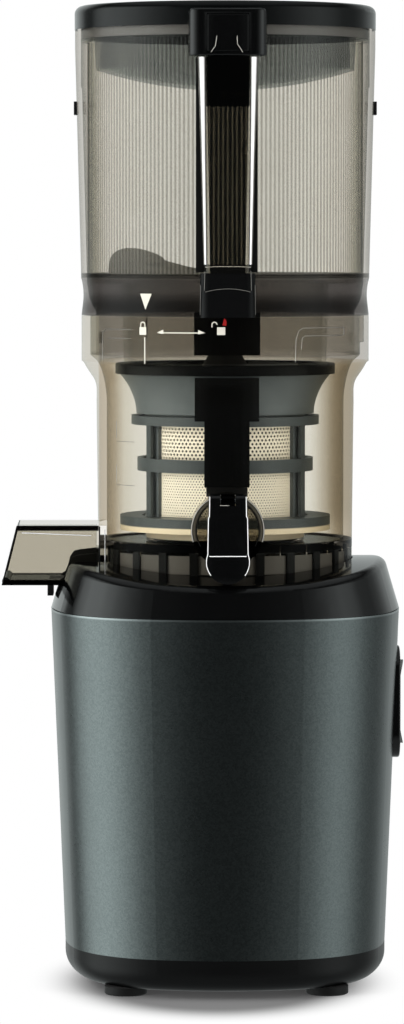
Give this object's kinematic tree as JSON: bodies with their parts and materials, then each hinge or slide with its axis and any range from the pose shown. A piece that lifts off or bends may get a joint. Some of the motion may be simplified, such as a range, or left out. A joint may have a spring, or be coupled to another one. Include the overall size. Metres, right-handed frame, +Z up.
{
  "type": "cold press juicer",
  "caption": "Upright slow juicer with a motor base, clear juicing bowl, strainer and screw, capped spout, pulp chute and a tall hinged-lid hopper.",
  "frame": {"origin": "on the surface that the feet stand on, under the drive axis", "axes": "+Z up, -Y out of the juice spout at the front, -X out of the pulp chute"},
  "size_m": [0.2101, 0.185, 0.51],
  "materials": {
    "body_paint": "metallic satin",
    "gloss_black": "high gloss",
    "satin_black": "satin",
    "smoky_clear": "clear smoky",
    "grey_plastic": "satin",
    "dark_plastic": "fine matt",
    "mesh_steel": "satin",
    "silicone": "matt",
    "motor_steel": "ground",
    "zinc_steel": "bright zinc",
    "copper_wire": "enamelled wire",
    "gear_plastic": "natural acetal",
    "cast_alloy": "die cast",
    "board": "solder mask",
    "clear_dark": "dark clear"
  },
  "bodies": {
    "base": {"rubber_feet": "silicone", "base_pan": "satin_black", "pan_screws": "zinc_steel", "body_shell": "body_paint", "top_cover": "gloss_black", "cord_grommet": "silicone", "rocker_bezel": "satin_black", "rocker_pin": "zinc_steel", "switch_body": "dark_plastic", "motor_can": "motor_steel", "motor_stator": "motor_steel", "motor_windings": "copper_wire", "motor_bearings": "zinc_steel", "gearbox_case": "cast_alloy", "gearbox_cover": "cast_alloy", "gearbox_screws": "zinc_steel", "output_bearing": "zinc_steel", "control_board": "board", "capacitor": "dark_plastic", "drum": "smoky_clear", "centre_seal": "silicone", "pulp_plug": "silicone", "safety_bar": "gloss_black", "strainer_mesh": "mesh_steel", "strainer_frame": "grey_plastic", "strainer_gasket": "silicone", "cap_pin": "zinc_steel"},
    "rocker": {"rocker_switch": "gloss_black"},
    "motor_spindle": {"motor_rotor": "motor_steel", "motor_shaft": "zinc_steel", "cooling_fan": "dark_plastic"},
    "counter_spindle": {"countershaft": "zinc_steel", "compound_gear": "gear_plastic"},
    "drive": {"output_gear": "gear_plastic", "output_shaft": "zinc_steel", "juicing_screw": "dark_plastic", "cutting_wing": "dark_plastic"},
    "idler": {"idler_gear": "gear_plastic"},
    "wiper": {"wiper_cage": "grey_plastic", "wiper_blades": "silicone"},
    "cap": {"spout_cap": "gloss_black", "cap_gasket": "silicone"},
    "hopper_unit": {"hopper": "smoky_clear", "hopper_liner": "smoky_clear", "feed_floor": "clear_dark", "front_column": "smoky_clear", "front_shoe": "gloss_black", "magnet_pad": "satin_black", "side_tabs": "satin_black", "hinge_pin": "zinc_steel"},
    "interlock": {"interlock_bar": "clear_dark"},
    "lid_unit": {"lid": "satin_black", "lid_dome": "clear_dark", "lid_gasket": "silicone", "latch_housing": "satin_black", "latch_spring": "zinc_steel"},
    "latch": {"latch_button": "gloss_black"}
  },
  "joints": [
    {"name": "rocker_tip", "type": "hinge", "parent": "base", "child": "rocker", "pos_m": [0.086, 0, 0.1465], "axis": [0, 1, 0], "range_deg": [-8, 8]},
    {"name": "drive_spin", "type": "hinge", "parent": "base", "child": "drive", "pos_m": [0, 0, 0.25], "axis": [0, 0, 1], "continuous": true},
    {"name": "counter_spin", "type": "hinge", "parent": "base", "child": "counter_spindle", "pos_m": [0, 0.0363, 0.18], "axis": [0, 0, 1], "continuous": true},
    {"name": "motor_spin", "type": "hinge", "parent": "base", "child": "motor_spindle", "pos_m": [0, 0, 0.1], "axis": [0, 0, 1], "continuous": true},
    {"name": "idler_spin", "type": "hinge", "parent": "base", "child": "idler", "pos_m": [0.0193, 0.0162, 0.236], "axis": [0, 0, 1], "continuous": true},
    {"name": "wiper_spin", "type": "hinge", "parent": "base", "child": "wiper", "pos_m": [0, 0, 0.26], "axis": [0, 0, 1], "continuous": true},
    {"name": "cap_flip", "type": "hinge", "parent": "base", "child": "cap", "pos_m": [0, -0.0904, 0.257], "axis": [-1, 0, 0], "range_deg": [0, 75]},
    {"name": "hopper_twist", "type": "hinge", "parent": "base", "child": "hopper_unit", "pos_m": [0, 0, 0.35], "axis": [0, 0, 1], "range_deg": [0, 30]},
    {"name": "interlock_slide", "type": "slide", "parent": "hopper_unit", "child": "interlock", "axis": [0, 0, 1], "range_m": [0, 0.0025]},
    {"name": "lid_open", "type": "hinge", "parent": "hopper_unit", "child": "lid_unit", "pos_m": [0, 0.083, 0.497], "axis": [-1, 0, 0], "range_deg": [0, 95]},
    {"name": "latch_press", "type": "slide", "parent": "lid_unit", "child": "latch", "axis": [0, 1, 0], "range_m": [0, 0.0025], "stiffness_N_per_m": 400, "deforming": ["latch_spring"]}
  ],
  "couplings": [
    {"joint": "counter_spin", "follows": "drive_spin", "ratio": -4.5},
    {"joint": "motor_spin", "follows": "drive_spin", "ratio": 20.25},
    {"joint": "idler_spin", "follows": "drive_spin", "ratio": -1.3333},
    {"joint": "wiper_spin", "follows": "drive_spin", "ratio": -0.4}
  ]
}
